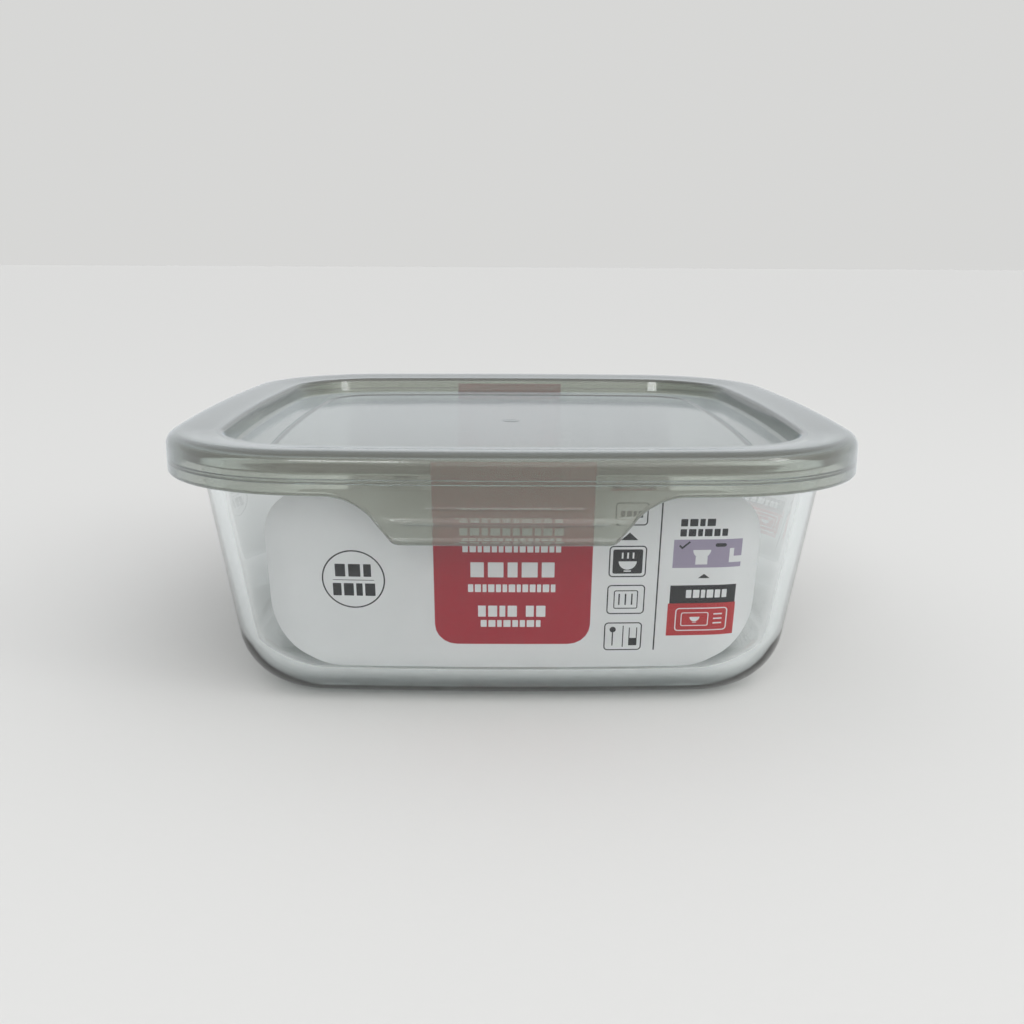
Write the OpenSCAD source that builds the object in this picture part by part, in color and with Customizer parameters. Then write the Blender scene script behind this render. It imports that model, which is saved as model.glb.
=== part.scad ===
// Square glass food container with a one-piece snap lid, a pull tab and two card inserts.
// Millimetres. The origin is at the middle of the base, +Z is up and the pull tab faces -Y.

/* [Overall] */
// Width and depth over the lid, at the middle of each side
lid_w = 172; // [168:1:180]
// Height over the closed lid
total_h = 65; // [60:0.5:80]
// Unit of the outline: a larger one gives a smaller corner radius and a larger side radius
outline_unit = 0.77; // [0.72:0.005:0.78]

/* [Glass bowl] */
// Thickness of the glass wall
glass_t = 3.8; // [3.5:0.1:4]
// Thickness of the glass floor
floor_t = 4.5; // [3.5:0.1:5.5]
// Lean of the wall, in degrees from upright
draft = 9.2; // [8.5:0.1:10]
// Outer radius where the wall meets the base
base_r = 16; // [15:0.5:19]
// Inner radius where the wall meets the floor
floor_r = 13; // [11:0.5:14]
// How far the wall stands inside the lid's outline, just under the rim
wall_inset = 7.3; // [7:0.1:7.4]
// Height of the thick rim
rim_h = 3.3; // [2.8:0.1:3.8]
// How far the rim stands inside the lid's outline
rim_inset = 3.1; // [3:0.1:3.4]

/* [Lid] */
// Thickness of the lid's plastic
lid_t = 1.8; // [1.5:0.1:1.9]
// Height of the skirt, from the top of the lid down
skirt_h = 9.7; // [8.8:0.1:10]
// Width of the raised ring
ring_w = 13.6; // [13.5:0.1:14]
// Depth of the recess inside the ring
recess_h = 5.3; // [4.5:0.1:5.6]
// How much lower the ring's inner edge is than its crest
ring_fall = 0.6; // [0:0.1:0.8]
// Lean of the recess wall, in degrees from upright
recess_lean = 15; // [12:1:18]
// Distance from the lid's outline to the fine ridge round the panel
ridge_inset = 24.6; // [22:0.2:26]
// Radius of the half-round snap bead inside the skirt
bead_r = 0.9; // [0.6:0.05:0.9]
// Radius of the moulding mark in the middle of the panel
gate_r = 2.6; // [1.5:0.1:4]

/* [Pull tab] */
// Length of the tab below the skirt
tab_h = 10.4; // [9:0.1:12]
// Width of the tab at its lower edge
tab_w = 48; // [40:1:52]
// Sideways place of the tab's middle, from the middle of the lid
tab_x = -2; // [-4:0.5:4]
// Radius of the sweep from the tab's side into the skirt
tab_sweep_r = 14.5; // [12:0.5:15]
// Slope of the tab's side, in degrees from level
tab_slope = 50; // [46:1:55]
// How far the tab's lower edge stands out from the skirt
tab_flare = 0.8; // [0.2:0.1:1.2]

/* [Card inserts] */
// Width of the card's white panel
card_w = 114; // [100:1:115]
// Height of the lower edge above the table
card_low = 10; // [9:0.5:14]
// Height of the white panel's upper edge above the table
card_top = 55; // [50:0.1:55.5]
// Width of the tongue that runs up to the rim
tongue_w = 36.6; // [30:0.2:44]
// Thickness of the card
card_t = 0.4; // [0.3:0.05:0.5]

/* [Hidden] */
tiny = 0.01;

// Outline: four bowed sides and four round corners, each tangent to the next. A side's centre, a
// corner's centre and the point where the two arcs meet are on one line, whose slope is 58 in 840.
// Since 58, 840 and 842 make a right triangle, every length here is a whole number of units.
half_w = lid_w / 2;
corner_c = 58 * outline_unit;
side_d = 782 * outline_unit;
side_r = half_w + 782 * outline_unit;
corner_r = half_w - 60 * outline_unit;
side_a = atan2(58, 840);
// A point well outside the object on the line between a side's arc and a corner's arc
split = [226 * outline_unit, 69.6 * outline_unit];

// Heights
gap = 0.3;
edge_r = 1.2;
top_r = 3;
skirt_z = total_h - skirt_h;
ceiling_z = total_h - lid_t;
panel_z = total_h - recess_h;
rim_top = ceiling_z - gap;
rim_low = rim_top - rim_h;
rim_r = 1.4;
tongue_top = rim_top - rim_r / 2;

// Distances from the lid's outline, where a negative distance is inwards
plate_x = -35;
overlap = 2;
wall_lean = tan(draft);
function outer_wall(z) = -wall_inset - (rim_low - z) * wall_lean;
function inner_wall(z) = outer_wall(z) - glass_t / cos(draft);
floor_x = inner_wall(floor_t + floor_r) - floor_r / cos(draft);
// The inside of the bowl where the wall curves into the floor
function floor_curve(z) = floor_x + sqrt(floor_r * floor_r - pow(floor_t + floor_r - z, 2));

function arc(x, y, r, from, to, steps = 8) =
    [for (i = [0 : steps]) let (a = from + (to - from) * i / steps) [x + r * cos(a), y + r * sin(a)]];

// The outline at a distance from the lid's outer wall
function turned(points, angle) =
    [for (p = points) [p.x * cos(angle) - p.y * sin(angle), p.x * sin(angle) + p.y * cos(angle)]];
function outline(distance) =
    [for (quarter = [0 : 3])
        each turned(arc(corner_c, corner_c, corner_r + distance, side_a, 90 - side_a), 90 * quarter)];

// One bowed side, on +X, from a profile drawn at its distance from the outline
module side_arc()
    intersection() {
        translate([-side_d, 0, 0])
            rotate_extrude(angle = 10, start = -5, $fn = 1080)
                translate([side_r, 0])
                    children();
        wedge([[-side_d, 0], [split.x, -split.y], split]);
    }

// One round corner, between +X and +Y
module corner_arc()
    intersection() {
        translate([corner_c, corner_c, 0])
            rotate_extrude(angle = 90, start = 0, $fn = 144)
                translate([corner_r, 0])
                    children();
        wedge([[corner_c, corner_c], split, [split.y, split.x]]);
    }

// The slice of space that one arc fills
module wedge(points)
    translate([0, 0, -1])
        linear_extrude(total_h + 2)
            polygon(points);

module swept_ring()
    for (quarter = [0 : 3])
        rotate([0, 0, 90 * quarter]) {
            side_arc() children();
            corner_arc() children();
        }

// A plate that closes the middle of a swept ring
module middle_plate(low, high)
    translate([0, 0, low])
        linear_extrude(high - low)
            polygon(outline(plate_x));

// ---- Glass bowl ----
module bowl_profile() {
    base_x = outer_wall(base_r) - base_r / cos(draft);
    polygon(concat(
        [[plate_x - overlap, 0]],
        arc(base_x, base_r, base_r, -90, -draft),
        [[outer_wall(rim_low), rim_low]],
        arc(-rim_inset - rim_r / 2, rim_low + rim_r / 2, rim_r / 2, -90, 0, 4),
        arc(-rim_inset - rim_r, rim_top - rim_r, rim_r, 0, 90),
        arc(inner_wall(rim_top) + rim_r, rim_top - rim_r, rim_r, 90, 180 - draft),
        arc(floor_x, floor_t + floor_r, floor_r, -draft, -90),
        [[plate_x - overlap, floor_t]]
    ));
}

module glass_bowl() {
    color("lightcyan", 0.4) {
        swept_ring() bowl_profile();
        middle_plate(0, floor_t);
    }
}

// ---- Lid ----
module lid_profile() {
    crest_x = edge_r - ring_w;
    crest_z = total_h - ring_fall - edge_r;
    wall_top = [crest_x - edge_r * cos(recess_lean), crest_z + edge_r * sin(recess_lean)];
    foot_z = panel_z + edge_r;
    foot_x = wall_top.x - (wall_top.y - foot_z + edge_r * sin(recess_lean)) * tan(recess_lean)
        - edge_r * cos(recess_lean);
    under_r = edge_r + lid_t;
    under_top = [foot_x + under_r * cos(recess_lean), foot_z - under_r * sin(recess_lean)];
    bead_z = rim_low - gap - bead_r;
    ridge_h = 0.35;
    ridge_x = -ridge_inset;
    polygon(concat(
        [[0, skirt_z]],
        arc(-top_r, total_h - top_r, top_r, 0, 90),
        arc(crest_x, crest_z, edge_r, 90, 180 - recess_lean, 6),
        arc(foot_x, foot_z, edge_r, -recess_lean, -90, 6),
        [[ridge_x + 2 * ridge_h, panel_z], [ridge_x + ridge_h, panel_z + ridge_h],
         [ridge_x - ridge_h, panel_z + ridge_h], [ridge_x - 2 * ridge_h, panel_z]],
        [[plate_x - overlap, panel_z], [plate_x - overlap, panel_z - lid_t]],
        arc(foot_x, foot_z, under_r, -90, -recess_lean, 6),
        [[under_top.x + (ceiling_z - under_top.y) * tan(recess_lean), ceiling_z]],
        arc(-top_r, total_h - top_r, top_r - lid_t, 90, 0, 6),
        arc(-lid_t, bead_z, bead_r, 90, 270),
        [[-lid_t, skirt_z]]
    ));
}

module lid() {
    color("slategray", 0.6) {
        swept_ring() lid_profile();
        middle_plate(panel_z - lid_t, panel_z);
        gate_mark();
    }
}

// The raised disc that the moulding gate leaves
module gate_mark()
    translate([0, 0, panel_z - tiny])
        cylinder(h = 0.3 + tiny, r = gate_r, $fn = 48);

// ---- Pull tab ----
module tab_profile() {
    tab_z = skirt_z - tab_h;
    lip_r = lid_t / 2;
    lip_x = tab_flare - lip_r;
    polygon(concat(
        [[-lid_t, skirt_z], [0, skirt_z]],
        reverse_points(arc(lip_x, tab_z + lip_r, lip_r, -180, 0, 12))
    ));
}

function reverse_points(points) = [for (i = [len(points) - 1 : -1 : 0]) points[i]];

// A grip rib along the tab, drawn as a half-round bar on its outer face
module tab_rib(height, width) {
    rib_r = 0.8;
    rib_x = tab_flare * height / tab_h - rib_r / 2;
    intersection() {
        front_arc()
            translate([rib_x, skirt_z - height])
                circle(r = rib_r, $fn = 24);
        translate([tab_x - width / 2, -lid_w, 0])
            cube([width, lid_w, total_h]);
    }
}

module front_arc()
    rotate([0, 0, -90])
        side_arc()
            children();

// Half of the tab's outline: flat lower edge, round corner, sloping side, sweep into the skirt
function tab_half() =
    let (
        tab_z = skirt_z - tab_h,
        low_r = 3,
        low_x = tab_w / 2 - low_r * tan(tab_slope / 2),
        side_run = (tab_h - tab_sweep_r * (1 - cos(tab_slope))) / tan(tab_slope),
        sweep_x = tab_w / 2 + side_run + tab_sweep_r * sin(tab_slope)
    )
    concat(
        arc(low_x, tab_z + low_r, low_r, -90, tab_slope - 90, 8),
        arc(sweep_x, skirt_z - tab_sweep_r, tab_sweep_r, 90 + tab_slope, 90, 14)
    );

module pull_tab() {
    half = tab_half();
    color("slategray", 0.6) {
        intersection() {
            front_arc() tab_profile();
            rotate([90, 0, 0])
                linear_extrude(lid_w)
                    translate([tab_x, 0])
                        polygon(concat(half, [for (p = reverse_points(half)) [-p.x, p.y]]));
        }
        tab_rib(2.3, 34);
        tab_rib(5.6, 44);
    }
}

// ---- Card inserts ----
// The card leans from the curve above the floor to the wall just under the rim
module card_profile() {
    low_x = floor_curve(card_low) - gap;
    top_x = inner_wall(tongue_top) - gap;
    polygon([
        [low_x - card_t, card_low], [low_x, card_low],
        [top_x, tongue_top], [top_x - card_t, tongue_top]
    ]);
}

module card_outline() {
    top_corner = 12;
    low_corner = 16;
    x = card_w / 2;
    right = concat(
        arc(x - low_corner, card_low + low_corner, low_corner, -90, 0),
        arc(x - top_corner, card_top - top_corner, top_corner, 0, 90),
        [[tongue_w / 2, card_top], [tongue_w / 2, tongue_top]]
    );
    polygon(concat(right, [for (p = reverse_points(right)) [-p.x, p.y]]));
}

// The part of a bent sheet that lies inside the card's outline
module cut_card()
    intersection() {
        children();
        rotate([90, 0, 0])
            linear_extrude(lid_w)
                card_outline();
    }

// A card bent along the inside of the front wall and round into its two corners
module card() {
    cut_card() front_arc() card_profile();
    for (turn = [-90, 180])
        cut_card() rotate([0, 0, turn]) corner_arc() card_profile();
}

module front_card()
    color("gainsboro") card();

module back_card()
    color("gainsboro") rotate([0, 0, 180]) card();

glass_bowl();
lid();
pull_tab();
front_card();
back_card();
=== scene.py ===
"""Square glass food container with a soft snap lid and two printed card inserts.

Lengths in the shape code are in millimetres and become metres when a mesh is made.
A profile point is (distance outwards from the lid's outline, height above the table).
"""

import math

import bmesh
import bpy
from mathutils import Euler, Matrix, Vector
from mathutils.geometry import delaunay_2d_cdt


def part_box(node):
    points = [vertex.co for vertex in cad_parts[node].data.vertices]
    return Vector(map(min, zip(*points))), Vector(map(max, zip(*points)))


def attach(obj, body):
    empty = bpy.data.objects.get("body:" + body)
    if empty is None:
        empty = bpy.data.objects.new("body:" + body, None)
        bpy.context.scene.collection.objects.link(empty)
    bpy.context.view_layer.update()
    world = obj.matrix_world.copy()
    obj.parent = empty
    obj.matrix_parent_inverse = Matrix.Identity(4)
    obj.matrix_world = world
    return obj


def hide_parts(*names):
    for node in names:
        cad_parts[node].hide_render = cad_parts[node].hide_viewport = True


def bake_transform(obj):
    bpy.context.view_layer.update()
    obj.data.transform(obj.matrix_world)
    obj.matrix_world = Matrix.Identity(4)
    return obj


MM = 0.001

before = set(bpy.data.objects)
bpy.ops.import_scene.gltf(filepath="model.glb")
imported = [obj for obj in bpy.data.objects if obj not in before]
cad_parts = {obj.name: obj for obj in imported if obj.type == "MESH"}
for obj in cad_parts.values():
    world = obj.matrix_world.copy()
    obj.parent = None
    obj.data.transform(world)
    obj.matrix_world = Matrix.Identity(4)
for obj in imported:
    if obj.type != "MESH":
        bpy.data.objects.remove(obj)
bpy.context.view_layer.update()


# ---------------------------------------------------------------- sizes from the frame

def box_mm(node):
    """A CAD node's lowest and highest corners in millimetres."""
    low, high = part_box(node)
    return [c / MM for c in low], [c / MM for c in high]


lid_low, lid_high = box_mm("lid")
_, bowl_high = box_mm("glass_bowl")
tab_low, tab_high = box_mm("pull_tab")
card_low, card_high = box_mm("front_card")

# The outline is four bowed sides and four corners. The side's centre, the corner's centre and the
# point where their arcs meet are in line, along the long side of a 58-840-842 triangle.
OUTLINE_UNIT = 0.77
HALF_W = 86.0
SIDE_D = 782 * OUTLINE_UNIT
SIDE_R = HALF_W + SIDE_D
CORNER_C = 58 * OUTLINE_UNIT
CORNER_R = HALF_W - 60 * OUTLINE_UNIT
SIDE_A = math.atan2(58, 840)

TOP_Z = lid_high[2]
SKIRT_Z = lid_low[2]
RIM_TOP = bowl_high[2]
TAB_Z = tab_low[2]
TAB_X = (tab_low[0] + tab_high[0]) / 2
# The flat middles of the floor and the panel start at this distance from the outline.
MIDDLE = -35.0
SIDE_STEPS = 30
CORNER_STEPS = 40
TAB_SIDE_STEPS = 150


def arc(x, y, r, start, end, steps=10):
    """Points along an arc, with its angles in degrees."""
    angles = [math.radians(start + (end - start) * i / steps) for i in range(steps + 1)]
    return [(x + r * math.cos(a), y + r * math.sin(a)) for a in angles]


def stations(side_steps, corner_steps, front_steps):
    """Every (centre, radius, angle) along the outline, anticlockwise from the middle of +X."""
    found = []
    for quarter in range(4):
        turn = quarter * math.pi / 2
        steps = front_steps if quarter == 3 else side_steps
        for i in range(steps):
            angle = -SIDE_A + 2 * SIDE_A * i / steps
            found.append((turned(-SIDE_D, 0, turn), SIDE_R, angle + turn, quarter == 3))
        for i in range(corner_steps):
            angle = SIDE_A + (math.pi / 2 - 2 * SIDE_A) * i / corner_steps
            found.append((turned(CORNER_C, CORNER_C, turn), CORNER_R, angle + turn, False))
    return found


def turned(x, y, angle):
    """A point turned about the middle."""
    return (x * math.cos(angle) - y * math.sin(angle), x * math.sin(angle) + y * math.cos(angle))


def place(station, distance, height):
    """The point at a profile position on one station."""
    (cx, cy), radius, angle, _ = station
    reach = radius + distance
    return Vector(((cx + reach * math.cos(angle)) * MM, (cy + reach * math.sin(angle)) * MM, height * MM))


def swept(places, profile_at):
    """A profile swept round the outline, and the two rings of points at its open ends."""
    bm = bmesh.new()
    rings = [[bm.verts.new(place(s, n, z)) for n, z in profile_at(s)] for s in places]
    count = len(rings)
    for i in range(count):
        here, after = rings[i], rings[(i + 1) % count]
        for j in range(len(here) - 1):
            bm.faces.new((here[j], after[j], after[j + 1], here[j + 1]))
    return bm, [r[0] for r in rings], [r[-1] for r in rings]


def finish_mesh(bm, name, materials, sharp=40):
    """Makes a smooth-shaded object of a bmesh; edges over `sharp` degrees stay sharp."""
    bmesh.ops.recalc_face_normals(bm, faces=bm.faces)
    mesh = bpy.data.meshes.new(name)
    bm.to_mesh(mesh)
    bm.free()
    mesh.shade_smooth()
    mesh.set_sharp_from_angle(angle=math.radians(sharp))
    piece = bpy.data.objects.new(name, mesh)
    bpy.context.scene.collection.objects.link(piece)
    for material in materials:
        mesh.materials.append(material)
    return piece


# ---------------------------------------------------------------- materials

def node_material(name):
    material = bpy.data.materials.new(name)
    material.use_nodes = True
    tree = material.node_tree
    return material, tree, tree.nodes["Principled BSDF"]


def add_noise(tree, scale, detail):
    """Noise that is fixed to the piece."""
    noise = tree.nodes.new("ShaderNodeTexNoise")
    noise.inputs["Scale"].default_value = scale
    noise.inputs["Detail"].default_value = detail
    where = tree.nodes.new("ShaderNodeTexCoord")
    tree.links.new(where.outputs["Object"], noise.inputs["Vector"])
    return noise


def add_bump(tree, shader, height, strength, distance):
    bump = tree.nodes.new("ShaderNodeBump")
    bump.inputs["Strength"].default_value = strength
    bump.inputs["Distance"].default_value = distance
    tree.links.new(height, bump.inputs["Height"])
    tree.links.new(bump.outputs["Normal"], shader.inputs["Normal"])


def add_range(tree, value, low, high):
    """Maps a 0 to 1 value onto a range."""
    node = tree.nodes.new("ShaderNodeMapRange")
    node.inputs["To Min"].default_value = low
    node.inputs["To Max"].default_value = high
    tree.links.new(value, node.inputs["Value"])
    return node.outputs["Result"]


def add_absorption(tree, colour, density):
    volume = tree.nodes.new("ShaderNodeVolumeAbsorption")
    volume.inputs["Color"].default_value = (*colour, 1)
    volume.inputs["Density"].default_value = density
    tree.links.new(volume.outputs["Volume"], tree.nodes["Material Output"].inputs["Volume"])


def glass_material():
    """Clear pressed glass with a faint cyan body colour and slight waves from the mould."""
    material, tree, shader = node_material("bowl_glass")
    shader.inputs["Base Color"].default_value = (1, 1, 1, 1)
    shader.inputs["Transmission Weight"].default_value = 1
    shader.inputs["IOR"].default_value = 1.473
    waves = add_noise(tree, 45, 1)
    add_bump(tree, shader, waves.outputs["Fac"], 0.06, 0.0004)
    marks = add_noise(tree, 260, 3)
    tree.links.new(add_range(tree, marks.outputs["Fac"], 0.0, 0.012), shader.inputs["Roughness"])
    add_absorption(tree, (0.20, 0.88, 0.98), 7)
    return material


def lid_material():
    """Milky soft plastic: olive where it is thin, blue-grey where its edges make it deep."""
    material, tree, shader = node_material("lid_plastic")
    flow = add_noise(tree, 70, 2)
    tint = tree.nodes.new("ShaderNodeMix")
    tint.data_type = "RGBA"
    tint.inputs["A"].default_value = (0.80, 0.78, 0.64, 1)
    tint.inputs["B"].default_value = (0.86, 0.84, 0.70, 1)
    tree.links.new(flow.outputs["Fac"], tint.inputs["Factor"])
    tree.links.new(tint.outputs["Result"], shader.inputs["Base Color"])
    shader.inputs["Transmission Weight"].default_value = 0.9
    shader.inputs["IOR"].default_value = 1.5
    shader.inputs["Sheen Weight"].default_value = 0.42
    shader.inputs["Sheen Roughness"].default_value = 0.5
    shader.inputs["Sheen Tint"].default_value = (0.78, 0.87, 0.95, 1)
    grain = add_noise(tree, 900, 3)
    tree.links.new(add_range(tree, grain.outputs["Fac"], 0.05, 0.13), shader.inputs["Roughness"])
    add_bump(tree, shader, flow.outputs["Fac"], 0.1, 0.0004)
    add_absorption(tree, (0.50, 0.58, 0.65), 700)
    return material


def print_material(name, colour):
    """Coated card or ink, with the fine tooth and mottle of printed board."""
    material, tree, shader = node_material(name)
    tooth = add_noise(tree, 2500, 4)
    mottle = add_noise(tree, 120, 3)
    tint = tree.nodes.new("ShaderNodeMix")
    tint.data_type = "RGBA"
    tint.inputs["A"].default_value = (*[c * 0.94 for c in colour], 1)
    tint.inputs["B"].default_value = (*colour, 1)
    tree.links.new(mottle.outputs["Fac"], tint.inputs["Factor"])
    tree.links.new(tint.outputs["Result"], shader.inputs["Base Color"])
    roughness = add_range(tree, mottle.outputs["Fac"], 0.39, 0.51)
    tree.links.new(roughness, shader.inputs["Roughness"])
    shader.inputs["Specular IOR Level"].default_value = 0.12
    add_bump(tree, shader, tooth.outputs["Fac"], 0.15, 0.00003)
    return material


# ---------------------------------------------------------------- glass bowl

DRAFT = 9.2
WALL_INSET = 7.3
GLASS_T = 3.8
FLOOR_T = 4.5
BASE_R = 16.0
FLOOR_R = 13.0
RIM_H = 3.3
RIM_INSET = HALF_W - bowl_high[0]
RIM_LOW = RIM_TOP - RIM_H
LEAN = math.tan(math.radians(DRAFT))
UPRIGHT = math.cos(math.radians(DRAFT))


def outer_wall(z):
    return -WALL_INSET - (RIM_LOW - z) * LEAN


def inner_wall(z):
    return outer_wall(z) - GLASS_T / UPRIGHT


FLOOR_X = inner_wall(FLOOR_T + FLOOR_R) - FLOOR_R / UPRIGHT


def floor_curve(z):
    return FLOOR_X + math.sqrt(FLOOR_R ** 2 - (FLOOR_T + FLOOR_R - z) ** 2)


def straight(start, end, steps):
    """Points between two profile points, without the two ends."""
    return [(start[0] + (end[0] - start[0]) * i / steps, start[1] + (end[1] - start[1]) * i / steps)
            for i in range(1, steps)]


def bowl_profile():
    rim_r = 1.4
    neck_r = 0.8
    base = arc(outer_wall(BASE_R) - BASE_R / UPRIGHT, BASE_R, BASE_R, -90, -DRAFT, 20)
    neck_x = outer_wall(RIM_LOW - neck_r) + neck_r
    neck = arc(neck_x, RIM_LOW - neck_r, neck_r, 180 - DRAFT, 90, 5)
    rim = (arc(-RIM_INSET - rim_r / 2, RIM_LOW + rim_r / 2, rim_r / 2, -90, 0, 6)
           + arc(-RIM_INSET - rim_r, RIM_TOP - rim_r, rim_r, 0, 90, 10)
           + arc(inner_wall(RIM_TOP) + rim_r, RIM_TOP - rim_r, rim_r, 90, 180 - DRAFT, 10))
    floor = arc(FLOOR_X, FLOOR_T + FLOOR_R, FLOOR_R, -DRAFT, -90, 16)
    return ([(MIDDLE, 0)] + base + straight(base[-1], neck[0], 12) + neck + rim
            + straight(rim[-1], floor[0], 12) + floor + [(MIDDLE, FLOOR_T)])


def glass_bowl(material):
    profile = bowl_profile()
    bm, under, top = swept(stations(SIDE_STEPS, CORNER_STEPS, SIDE_STEPS), lambda station: profile)
    bm.faces.new(under)
    bm.faces.new(top)
    piece = finish_mesh(bm, "bowl", [material])
    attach(piece, "bowl")
    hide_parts("glass_bowl")


# ---------------------------------------------------------------- lid and pull tab, one moulding

LID_T = 1.8
CEILING_Z = TOP_Z - LID_T
PANEL_Z = TOP_Z - 5.3
RING_W = 13.6
RING_FALL = 0.6
RECESS_LEAN = 15
RIDGE_X = -24.6
EDGE_R = 1.2
TOP_R = 3.0
TAB_ROWS = 60
TAB_W = 48.0
TAB_SWEEP_R = 14.5
TAB_SLOPE = math.radians(50)
TAB_LOW_R = 3.0
TAB_H = SKIRT_Z - TAB_Z
HINGE_Z = SKIRT_Z + 1.6
GATE_R = 2.6


def tab_drop(x):
    """How far the tab's lower edge is below the skirt at a distance x from its middle."""
    x = abs(x - TAB_X)
    low_x = TAB_W / 2 - TAB_LOW_R * math.tan(TAB_SLOPE / 2)
    run = (TAB_H - TAB_SWEEP_R * (1 - math.cos(TAB_SLOPE))) / math.tan(TAB_SLOPE)
    sweep_x = TAB_W / 2 + run + TAB_SWEEP_R * math.sin(TAB_SLOPE)
    low_end = low_x + TAB_LOW_R * math.sin(TAB_SLOPE)
    sweep_start = sweep_x - TAB_SWEEP_R * math.sin(TAB_SLOPE)
    if x <= low_x:
        return TAB_H
    if x <= low_end:
        return TAB_H - TAB_LOW_R + math.sqrt(TAB_LOW_R ** 2 - (x - low_x) ** 2)
    if x <= sweep_start:
        return (sweep_start - x) * math.tan(TAB_SLOPE) + TAB_SWEEP_R * (1 - math.cos(TAB_SLOPE))
    if x <= sweep_x:
        return TAB_SWEEP_R - math.sqrt(TAB_SWEEP_R ** 2 - (sweep_x - x) ** 2)
    return 0.0


def smooth_step(value):
    value = min(max(value, 0.0), 1.0)
    return value * value * (3 - 2 * value)


def bar(x, z, middle, half_height, half_width, rise, soft):
    """Height of a soft-edged raised bar that runs along the tab."""
    along = smooth_step((half_width - abs(x)) / soft + 0.5)
    across = smooth_step((half_height - abs(z - middle)) / soft + 0.5)
    return rise * along * across


def tab_relief(x, z):
    """A fine outlined rib, a grip step, a grip rib and a thicker lower lip on the outer face."""
    x -= TAB_X
    fine = max(bar(x, z, SKIRT_Z - 2.3, 0.15, 17.0, 0.22, 0.3),
               bar(abs(x) - 16.85, z, SKIRT_Z - 2.7, 0.45, 0.15, 0.22, 0.3))
    step = 0.3 * smooth_step((SKIRT_Z - 4.7 - z) / 0.7 + 0.5)
    rib = bar(x, z, SKIRT_Z - 5.6, 0.2, 22.0, 0.42, 0.4)
    lip = 0.3 * smooth_step((TAB_Z + 1.6 - z) / 0.6 + 0.5)
    return fine + step + rib + lip


def lid_rows():
    """The lid's profile: from the panel's top out to the skirt, and from the skirt back underneath.

    Both lists stop at the hinge line, and tab_rows joins them round the skirt's lower edge.
    """
    crest_x, crest_z = EDGE_R - RING_W, TOP_Z - RING_FALL - EDGE_R
    lean = math.radians(RECESS_LEAN)
    wall_x, wall_z = crest_x - EDGE_R * math.cos(lean), crest_z + EDGE_R * math.sin(lean)
    foot_z = PANEL_Z + EDGE_R
    foot_x = wall_x - (wall_z - foot_z + EDGE_R * math.sin(lean)) * math.tan(lean) - EDGE_R * math.cos(lean)
    under_r = EDGE_R + LID_T
    under_x = foot_x + under_r * math.cos(lean)
    under_z = foot_z - under_r * math.sin(lean)
    bead_r, bead_z = 0.6, RIM_LOW - 1.2
    ridge = [(RIDGE_X - 0.6, PANEL_Z), (RIDGE_X - 0.25, PANEL_Z + 0.28), (RIDGE_X, PANEL_Z + 0.35),
             (RIDGE_X + 0.25, PANEL_Z + 0.28), (RIDGE_X + 0.6, PANEL_Z)]
    crest = [(x, TOP_Z - RING_FALL * smooth_step((-x - TOP_R) / (RING_W - TOP_R - EDGE_R)))
             for x in [crest_x + (-TOP_R - crest_x) * i / 8 for i in range(1, 8)]]
    over = ([(MIDDLE, PANEL_Z), (RIDGE_X - 1.2, PANEL_Z)] + ridge + [(RIDGE_X + 1.2, PANEL_Z)]
            + arc(foot_x, foot_z, EDGE_R, -90, -RECESS_LEAN, 8)
            + arc(crest_x, crest_z, EDGE_R, 180 - RECESS_LEAN, 90, 10) + crest
            + arc(-TOP_R, TOP_Z - TOP_R, TOP_R, 90, 0, 12)
            + [(0, HINGE_Z + 2), (0, HINGE_Z)])
    inside = ([(-LID_T, HINGE_Z)] + arc(-LID_T, bead_z, bead_r, 270, 90, 12)
              + arc(-TOP_R, TOP_Z - TOP_R, TOP_R - LID_T, 0, 90, 6)
              + [(under_x + (CEILING_Z - under_z) * math.tan(lean), CEILING_Z)]
              + arc(foot_x, foot_z, under_r, -RECESS_LEAN, -90, 8)
              + [(MIDDLE, PANEL_Z - LID_T)])
    return over, inside


def tab_rows(x):
    """The skirt's lower edge at x along the front, from the outer hinge line to the inner one."""
    drop = tab_drop(x) if x is not None else 0.0
    edge_r = LID_T / 2
    low = SKIRT_Z - drop
    flare = 0.45 * smooth_step(drop / TAB_H)
    rows = []
    for i in range(1, TAB_ROWS):
        z = HINGE_Z + (low + edge_r - HINGE_Z) * i / TAB_ROWS
        out = flare * smooth_step((HINGE_Z - z) / TAB_H)
        relief = tab_relief(x, z) * smooth_step((z - low) / 0.5) if drop > 0.5 else 0.0
        rows.append((out + relief, z))
    lip = tab_relief(x, low + 0.5) if drop > 0.5 else 0.0
    turn = arc(-edge_r, low + edge_r, edge_r, 0, -180, 10)
    rows += [(n + flare + lip * (1 + n / LID_T), z) for n, z in turn]
    for i in range(1, TAB_ROWS):
        z = low + edge_r + (HINGE_Z - low - edge_r) * i / TAB_ROWS
        rows.append((flare * smooth_step((HINGE_Z - z) / TAB_H) - LID_T, z))
    return rows


def gate_disc(bm, ring, z):
    """Closes the panel's middle round a low moulding mark.

    The two flat loops outside the mark keep the shading of the panel level.
    """
    steps = 40
    loops = []
    for outside, rise in ((2, 0.0), (0.2, 0.0), (0, 0.0), (-0.3, 0.14), (-1.1, 0.16), (-1.5, 0.08)):
        circle = disc(0, 0, GATE_R + outside, steps)
        loops.append([bm.verts.new((x * MM, y * MM, (z + rise) * MM)) for x, y in circle])
    for a, b in zip(loops, loops[1:]):
        for i in range(steps):
            bm.faces.new((a[i], a[(i + 1) % steps], b[(i + 1) % steps], b[i]))
    bm.faces.new(loops[-1])
    pairs = [(loop[i - 1], loop[i]) for loop in (ring, loops[0]) for i in range(len(loop))]
    edges = [bm.edges.get(pair) or bm.edges.new(pair) for pair in pairs]
    bmesh.ops.triangle_fill(bm, edges=edges, use_beauty=True)


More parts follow.
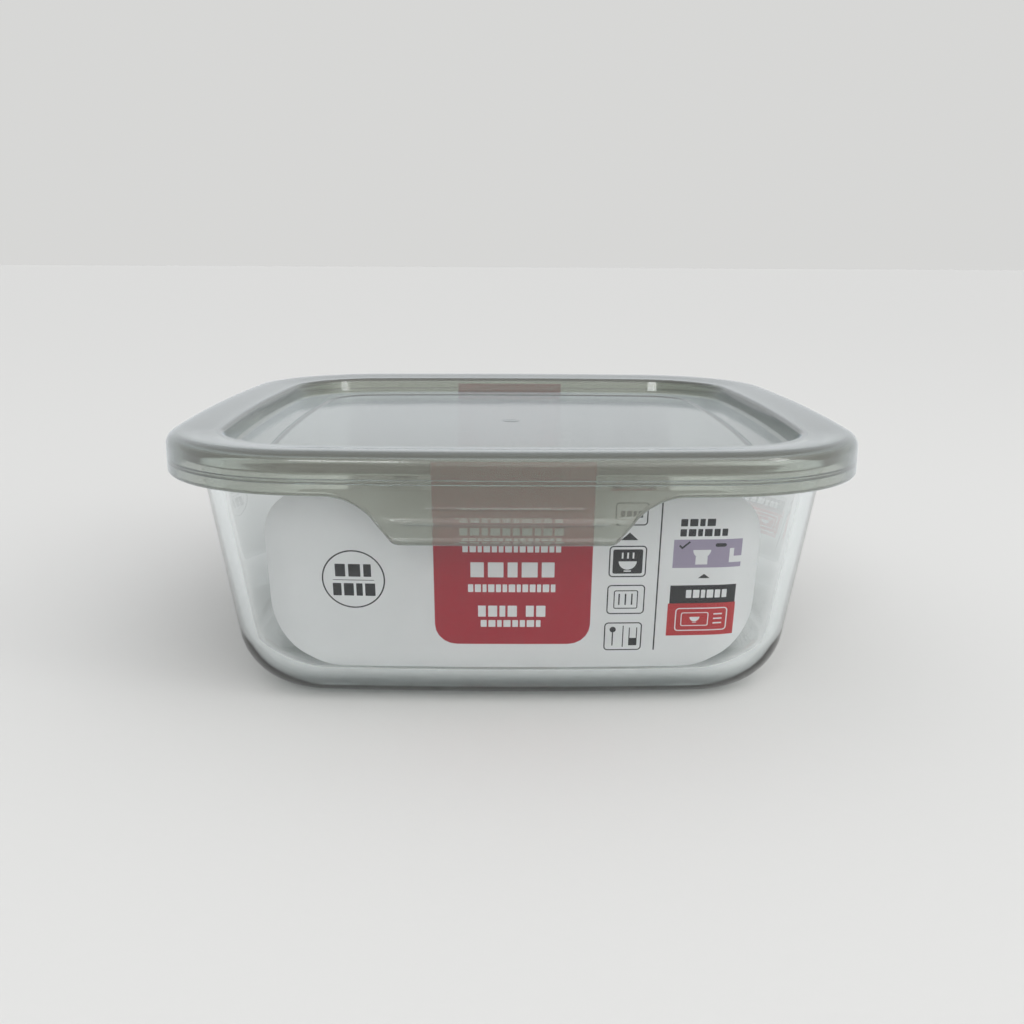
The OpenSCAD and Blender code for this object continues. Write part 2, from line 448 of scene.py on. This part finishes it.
def lid(material):
    over, inside = lid_rows()

    def profile_at(station):
        (cx, _), radius, angle, front = station
        x = cx + radius * math.cos(angle)
        return over + tab_rows(x if front else None) + inside

    bm, top, under = swept(stations(SIDE_STEPS, CORNER_STEPS, TAB_SIDE_STEPS), profile_at)
    gate_disc(bm, top, PANEL_Z)
    bm.faces.new(under)
    piece = finish_mesh(bm, "lid_and_tab", [material])
    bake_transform(piece)
    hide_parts("lid", "pull_tab")


# ---------------------------------------------------------------- printed cards

CARD_T = 0.4
CARD_GAP = 0.3
CARD_HALF = card_high[0]
CARD_LOW = card_low[2]
CARD_TOP = 55.0
TONGUE_TOP = card_high[2]
TONGUE_HALF = 18.3
BEND_STEP = 2.0
MERGE = 1e-5

# Places of the inks in a card's list of materials
WHITE, RED, BLACK, LILAC, BRIGHT_RED = range(5)


def rectangle(x0, z0, x1, z1, r=0.0, steps=5):
    """An outline with round corners, anticlockwise."""
    if r == 0:
        return [(x0, z0), (x1, z0), (x1, z1), (x0, z1)]
    return (arc(x1 - r, z0 + r, r, -90, 0, steps) + arc(x1 - r, z1 - r, r, 0, 90, steps)
            + arc(x0 + r, z1 - r, r, 90, 180, steps) + arc(x0 + r, z0 + r, r, 180, 270, steps))


def disc(x, z, r, steps=48):
    return arc(x, z, r, 0, 360 - 360 / steps, steps - 1)


def frame_of(x0, z0, x1, z1, r, line, ink, ground):
    """A drawn box: a filled outline with a smaller one of the ground colour on it."""
    return [(rectangle(x0, z0, x1, z1, r), ink),
            (rectangle(x0 + line, z0 + line, x1 - line, z1 - line, r - line), ground)]


def greeked(x0, z0, x1, z1, blocks, ink):
    """A row of small uneven blocks that stands in for a line of print."""
    widths = [1 + 0.25 * math.sin(2.4 * i) for i in range(blocks)]
    scale = (x1 - x0) / (sum(widths) + 0.3 * (blocks - 1))
    row, x = [], x0
    for width in widths:
        row.append((rectangle(x, z0, x + width * scale, z1, 0.12, 2), ink))
        x += (width + 0.3) * scale
    return row


def triangle(x, z, half, height):
    return [(x - half, z), (x + half, z), (x, z + height)]


def bowl_picture(x, z, s, ink):
    """A generic bowl: a half disc on a small foot."""
    foot = rectangle(x - s * 0.4, z - s * 1.25, x + s * 0.4, z - s * 1.1)
    return [(arc(x, z, s, 180, 360, 16), ink), (foot, ink)]


def column_print():
    """The red column with rows of white greeked print."""
    shapes = [(rectangle(-TONGUE_HALF, 16.1, TONGUE_HALF, 40, 5.2), RED),
              (rectangle(-TONGUE_HALF, 30, TONGUE_HALF, TONGUE_TOP), RED)]
    for x0, z0, x1, z1, blocks in (
            (-13.2, 46.9, 8.4, 48.1, 15), (-12.2, 44.2, 11.4, 46.0, 10),
            (-11.6, 39.9, 11.0, 42.4, 14), (-9.8, 33.6, 9.6, 37.4, 5),
            (-10.4, 29.8, 9.9, 31.8, 13), (-8.1, 23.4, 1.0, 26.3, 4),
            (3.1, 23.4, 7.7, 26.3, 2), (-7.5, 20.7, 6.6, 22.5, 8)):
        shapes += greeked(x0, z0, x1, z1, blocks, WHITE)
    return shapes


def badge_print():
    """A round badge with two greeked rows."""
    x, z = -37.0, 32.7
    shapes = [(disc(x, z, 7.4), BLACK), (disc(x, z, 7.05), WHITE)]
    shapes += greeked(x - 4.2, z + 0.7, x + 4.2, z + 3.9, 3, BLACK)
    shapes += greeked(x - 4.9, z - 4.2, x + 5.0, z - 1.0, 4, BLACK)
    shapes += [(rectangle(x - 4.8, z - 0.25, x + 4.8, z - 0.1), BLACK)]
    return shapes


def care_print():
    """The column of small care boxes and the thin line beside it."""
    shapes = [(rectangle(33.55, 14.3, 33.9, 52.0), BLACK), (triangle(26.6, 42.9, 2.0, 1.9), BLACK)]
    shapes += frame_of(23.0, 46.5, 30.6, 52.3, 0.9, 0.3, BLACK, WHITE)
    shapes += greeked(24.2, 48.4, 29.4, 50.2, 4, BLACK)
    shapes += frame_of(22.1, 33.6, 30.8, 41.5, 1.0, 0.3, BLACK, WHITE)
    shapes += [(rectangle(23.0, 34.5, 29.9, 40.6, 0.4, 2), BLACK)]
    shapes += bowl_picture(26.45, 37.6, 2.1, WHITE)
    shapes += [(rectangle(x, 38.3, x + 0.4, 39.8), WHITE) for x in (25.0, 26.25, 27.5)]
    shapes += frame_of(22.0, 24.0, 30.9, 31.6, 1.0, 0.3, BLACK, WHITE)
    shapes += frame_of(23.6, 25.4, 29.3, 30.2, 0.5, 0.25, BLACK, WHITE)
    shapes += [(rectangle(x, 26.4, x + 0.35, 29.3), BLACK) for x in (24.7, 26.2, 27.7)]
    shapes += frame_of(21.7, 14.3, 30.7, 21.8, 1.0, 0.3, BLACK, WHITE)
    shapes += [(rectangle(26.1, 15.2, 26.35, 20.9), BLACK)]
    shapes += [(rectangle(23.6, 15.6, 23.9, 19.2), BLACK), (disc(23.75, 19.9, 0.75, 16), BLACK)]
    shapes += [(rectangle(27.6, 15.6, 29.6, 17.6), BLACK), (rectangle(27.6, 17.6, 27.85, 20.4), BLACK),
               (rectangle(29.35, 17.6, 29.6, 20.4), BLACK)]
    return shapes


def use_print():
    """The right-hand block: two greeked rows, a picture panel and an oven panel."""
    shapes = greeked(38.2, 46.2, 46.2, 48.0, 4, BLACK) + greeked(38.2, 43.7, 49.2, 45.5, 6, BLACK)
    shapes += [(rectangle(36.9, 35.8, 52.8, 42.9), LILAC)]
    tick = [(38.1, 41.3), (38.9, 40.5), (40.8, 42.2), (40.5, 42.5), (38.9, 41.1), (38.4, 41.6)]
    shapes += [(tick, BLACK)]
    shapes += [(arc(43.6, 40.3, 2.1, 180, 360, 14), WHITE), (rectangle(42.2, 36.6, 45.0, 38.6), WHITE)]
    shapes += [(rectangle(46.6, 41.0, 49.2, 41.9, 0.4, 2), BLACK)]
    shapes += [(rectangle(50.0, 37.0, 52.8, 38.6), WHITE)]
    shapes += [(rectangle(50.0, 38.6, 51.0, 40.6), WHITE)]
    shapes += [(triangle(44.5, 33.1, 1.4, 1.1), BLACK)]
    shapes += [(rectangle(36.8, 26.6, 52.3, 31.3), BLACK), (rectangle(36.5, 18.1, 52.5, 26.6), BRIGHT_RED)]
    shapes += greeked(40.6, 28.0, 50.2, 30.1, 6, WHITE)
    shapes += frame_of(38.4, 19.3, 50.8, 25.4, 0.9, 0.28, WHITE, BRIGHT_RED)
    shapes += frame_of(39.8, 20.6, 46.4, 24.2, 0.5, 0.22, WHITE, BRIGHT_RED)
    shapes += [(rectangle(47.6, z, 49.6, z + 0.35), WHITE) for z in (21.1, 22.3, 23.5)]
    shapes += bowl_picture(43.1, 23.0, 1.2, WHITE)
    return shapes


def card_outline():
    """The flat card: round corners below, smaller ones above and a tongue up to the rim."""
    x, low_r, top_r = CARD_HALF, 16, 12
    right = (arc(x - low_r, CARD_LOW + low_r, low_r, -90, 0, 12)
             + arc(x - top_r, CARD_TOP - top_r, top_r, 0, 90, 10)
             + [(TONGUE_HALF, CARD_TOP), (TONGUE_HALF, TONGUE_TOP)])
    return right + [(-px, pz) for px, pz in reversed(right)]


def wall_depth(x, distance):
    """How far the outline at a distance is from the middle, at x along a side."""
    x = abs(x)
    if x <= (SIDE_R + distance) * math.sin(SIDE_A):
        return math.sqrt((SIDE_R + distance) ** 2 - x * x) - SIDE_D
    return CORNER_C + math.sqrt((CORNER_R + distance) ** 2 - (x - CORNER_C) ** 2)


def card_point(x, z, inner):
    """A point on the bent card, on its face to the glass or, if inner, on its face to the food."""
    low_x = floor_curve(CARD_LOW) - CARD_GAP
    top_x = inner_wall(TONGUE_TOP) - CARD_GAP
    distance = low_x + (top_x - low_x) * (z - CARD_LOW) / (TONGUE_TOP - CARD_LOW)
    return Vector((x * MM, -wall_depth(x, distance - CARD_T * inner) * MM, z * MM))


def card(name, node, turn, materials):
    """A thin bent card, printed on both faces so that each reads the right way round."""
    shapes = column_print() + badge_print() + care_print() + use_print()
    polygons = [card_outline()]
    polygons += [points for points, _ in shapes]
    polygons += [[(-x, z) for x, z in reversed(points)] for points, _ in shapes]
    verts, faces, edges = [], [], []
    for points in polygons:
        start = len(verts)
        verts += [Vector(p) for p in points]
        faces.append(list(range(start, start + len(points))))
    # Upright cuts let the flat card bend.
    for step in range(-28, 29):
        start = len(verts)
        x = step * BEND_STEP
        verts += [Vector((x, CARD_LOW - 1)), Vector((x, TONGUE_TOP + 1))]
        edges.append((start, start + 1))
    flat, _, flat_faces, _, _, owners = delaunay_2d_cdt(verts, edges, faces, 0, MERGE)
    bm = bmesh.new()
    sides = [[bm.verts.new(card_point(p.x, p.y, inner)) for p in flat] for inner in (False, True)]
    count = len(shapes)
    edges_used = []
    for face, own in zip(flat_faces, owners):
        if 0 not in own:
            continue
        outside = [o for o in own if 1 <= o <= count]
        inside = [o for o in own if count < o <= 2 * count]
        front = bm.faces.new([sides[0][v] for v in face])
        front.material_index = shapes[max(outside) - 1][1] if outside else WHITE
        back = bm.faces.new([sides[1][v] for v in reversed(face)])
        back.material_index = shapes[max(inside) - count - 1][1] if inside else WHITE
        edges_used += zip(face, face[1:] + face[:1])
    used = set(edges_used)
    # An edge used one way only is on the card's outline.
    for a, b in edges_used:
        if (b, a) not in used:
            bm.faces.new((sides[0][b], sides[0][a], sides[1][a], sides[1][b]))
    bmesh.ops.delete(bm, geom=[v for v in bm.verts if not v.link_faces], context="VERTS")
    bm.transform(Euler((0, 0, turn)).to_matrix().to_4x4())
    piece = finish_mesh(bm, name, materials, 30)
    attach(piece, "bowl")
    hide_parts(node)


# ---------------------------------------------------------------- floor, light and camera

FLOOR_RADIUS = 40
FLOOR_DROP = 0.0001
LIGHT_AIM_Z = 0.03


def floor():
    bm = bmesh.new()
    bmesh.ops.create_circle(bm, cap_ends=True, segments=96, radius=FLOOR_RADIUS)
    piece = finish_mesh(bm, "floor", [floor_material()])
    piece.location.z = -FLOOR_DROP


def floor_material():
    material, tree, shader = node_material("pale_floor")
    shader.inputs["Base Color"].default_value = (0.70, 0.70, 0.69, 1)
    shader.inputs["Roughness"].default_value = 0.8
    weave = add_noise(tree, 300, 3)
    add_bump(tree, shader, weave.outputs["Fac"], 0.1, 0.0005)
    return material


def area_light(name, place_at, size, power):
    light = bpy.data.lights.new(name, "AREA")
    light.shape = "RECTANGLE"
    light.size, light.size_y = size
    light.energy = power
    lamp = bpy.data.objects.new(name, light)
    lamp.location = place_at
    aim = Vector((0, 0, LIGHT_AIM_Z)) - Vector(place_at)
    lamp.rotation_euler = aim.to_track_quat("-Z", "Y").to_euler()
    bpy.context.scene.collection.objects.link(lamp)


def studio():
    """A pale room: bright overhead, a broad soft light above the camera, dimmer at the sides."""
    world = bpy.data.worlds.new("studio")
    world.use_nodes = True
    tree = world.node_tree
    where = tree.nodes.new("ShaderNodeTexCoord").outputs["Generated"]
    sides = sky_mix(tree, where, (0, 1, 0), (-0.9, 0.3), (0.52, 0.52, 0.52), (0.68, 0.68, 0.67))
    dome = sky_mix(tree, where, (0, 0, 1), (0.2, 0.95), sides, (0.72, 0.73, 0.75))
    soft = sky_mix(tree, where, (0.45, -0.77, 0.45), (0.5, 1), dome, (2.3, 2.28, 2.25))
    tree.links.new(soft, tree.nodes["Background"].inputs["Color"])
    bpy.context.scene.world = world
    area_light("front", (-0.35, -1.1, 0.75), (0.3, 0.2), 1.6)
    area_light("window", (0.75, -0.5, 0.6), (0.2, 0.3), 1.0)


def sky_mix(tree, where, towards, span, low, high):
    """Blends from one sky colour to another by how far a direction points towards an axis."""
    dot = tree.nodes.new("ShaderNodeVectorMath")
    dot.operation = "DOT_PRODUCT"
    tree.links.new(where, dot.inputs[0])
    dot.inputs[1].default_value = towards
    ramp = tree.nodes.new("ShaderNodeMapRange")
    ramp.interpolation_type = "SMOOTHSTEP"
    ramp.inputs["From Min"].default_value, ramp.inputs["From Max"].default_value = span
    tree.links.new(dot.outputs["Value"], ramp.inputs["Value"])
    mix = tree.nodes.new("ShaderNodeMix")
    mix.data_type = "RGBA"
    tree.links.new(ramp.outputs["Result"], mix.inputs["Factor"])
    if isinstance(low, tuple):
        mix.inputs["A"].default_value = (*low, 1)
    else:
        tree.links.new(low, mix.inputs["A"])
    mix.inputs["B"].default_value = (*high, 1)
    return mix.outputs["Result"]


def camera():
    """In front of the tab, a little above the lid and looking slightly down."""
    data = bpy.data.cameras.new("camera")
    data.sensor_width = 36
    data.lens = 37.3289
    data.clip_start = 0.01
    piece = bpy.data.objects.new("camera", data)
    away, height, aside = 0.3070, 0.1040, 0.0004
    yaw, pitch, roll = -0.0096, 0.2291, 0.0053
    x, y = turned(aside, -away, yaw)
    piece.location = (x, y, height)
    look = Euler((math.pi / 2 - pitch, 0, yaw)).to_matrix()
    tilt = Euler((0, 0, roll)).to_matrix()
    piece.rotation_euler = (look @ tilt).to_euler()
    bpy.context.scene.collection.objects.link(piece)
    bpy.context.scene.camera = piece


camera()
studio()
floor()
inks = [print_material("card_white", (0.84, 0.84, 0.84)),
        print_material("ink_red", (0.42, 0.010, 0.028)),
        print_material("ink_black", (0.006, 0.007, 0.010)),
        print_material("ink_lilac", (0.36, 0.31, 0.42)),
        print_material("ink_bright_red", (0.52, 0.02, 0.025))]
glass_bowl(glass_material())
lid(lid_material())
card("card_front", "front_card", 0, inks)
card("card_back", "back_card", math.pi, inks)

scene = bpy.context.scene
scene.view_settings.view_transform = "Standard"
# Light crosses the glass floor by many inner reflections.
scene.cycles.max_bounces = 32
scene.cycles.transmission_bounces = 32
